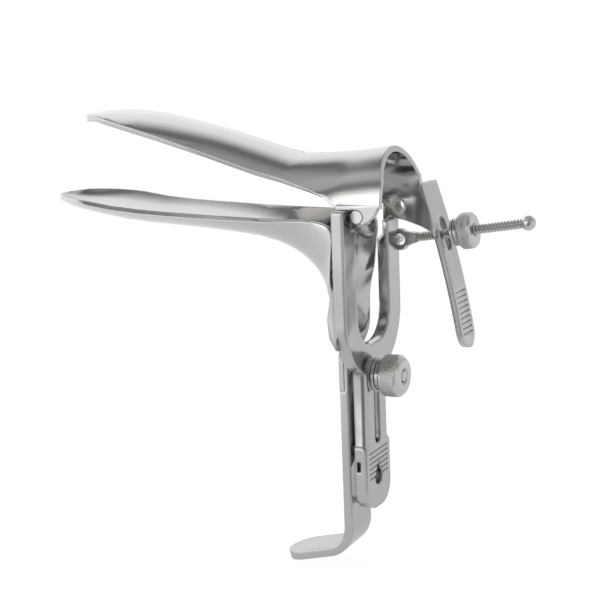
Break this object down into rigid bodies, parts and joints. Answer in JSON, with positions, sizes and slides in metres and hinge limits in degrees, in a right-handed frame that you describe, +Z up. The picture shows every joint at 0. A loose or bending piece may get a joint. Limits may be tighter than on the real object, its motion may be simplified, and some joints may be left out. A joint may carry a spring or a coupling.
{
  "type": "bivalve speculum",
  "caption": "Bivalve speculum of polished steel: two trough blades, a slotted yoke with hinge lugs, a thumb lever and two knurled clamping screws.",
  "frame": {"origin": "middle of the handle bar's front face at the grip, 67 mm below the lower blade's rim", "axes": "+X back to the operator, away from the blade tips; +Y to the thumb lever's side; +Z up along the handle"},
  "size_m": [0.1544, 0.0497, 0.144],
  "materials": {
    "polished_steel": "satin",
    "turned_steel": "satin"
  },
  "bodies": {
    "handle": {"lower_blade": "polished_steel", "handle_bar": "polished_steel", "clamp_stud": "turned_steel"},
    "clamp_washer": {"clamp_washer": "turned_steel"},
    "clamp_knob": {"clamp_knob": "turned_steel"},
    "yoke": {"yoke_frame": "polished_steel", "guide_block": "polished_steel", "near_hinge_pin": "turned_steel", "far_hinge_pin": "turned_steel", "rod_pivot_pin": "turned_steel"},
    "upper_blade": {"upper_blade": "polished_steel", "thumb_lever": "polished_steel"},
    "rod": {"spread_rod": "turned_steel", "rod_end_ball": "turned_steel"},
    "nut_washer": {"nut_washer": "turned_steel"},
    "spread_nut": {"spread_nut": "turned_steel"}
  },
  "joints": [
    {"name": "yoke_slide", "type": "slide", "parent": "handle", "child": "yoke", "axis": [0, 0, 1], "range_m": [0, 0.0195]},
    {"name": "knob_back_off", "type": "slide", "parent": "handle", "child": "clamp_washer", "axis": [1, 0, 0], "range_m": [-0.00005, 0.00145]},
    {"name": "knob_turn", "type": "hinge", "parent": "clamp_washer", "child": "clamp_knob", "pos_m": [0.0104, 0, 0.0192], "axis": [1, 0, 0], "range_deg": [0, 720]},
    {"name": "blade_hinge", "type": "hinge", "parent": "yoke", "child": "upper_blade", "pos_m": [0.01185, 0, 0.0693], "axis": [0, 1, 0], "range_deg": [-14, 12]},
    {"name": "rod_swing", "type": "hinge", "parent": "yoke", "child": "rod", "pos_m": [0.0082, 0, 0.0578], "axis": [0, 1, 0], "range_deg": [-11, 10]},
    {"name": "nut_travel", "type": "slide", "parent": "rod", "child": "nut_washer", "axis": [0.9905, 0, 0.1374], "range_m": [-0.0032, 0.0037]},
    {"name": "nut_spin", "type": "hinge", "parent": "nut_washer", "child": "spread_nut", "pos_m": [0.00915, 0.02275, 0.0578], "axis": [0.9905, 0, 0.1374], "range_deg": [-1500, 1750]}
  ],
  "couplings": [
    {"joint": "knob_back_off", "follows": "knob_turn", "m_per_rad": 0.00011141},
    {"joint": "rod_swing", "follows": "blade_hinge", "ratio": 0.74},
    {"joint": "nut_travel", "follows": "blade_hinge", "m_per_rad": -0.0137},
    {"joint": "nut_spin", "follows": "blade_hinge", "ratio": -122.97}
  ]
}
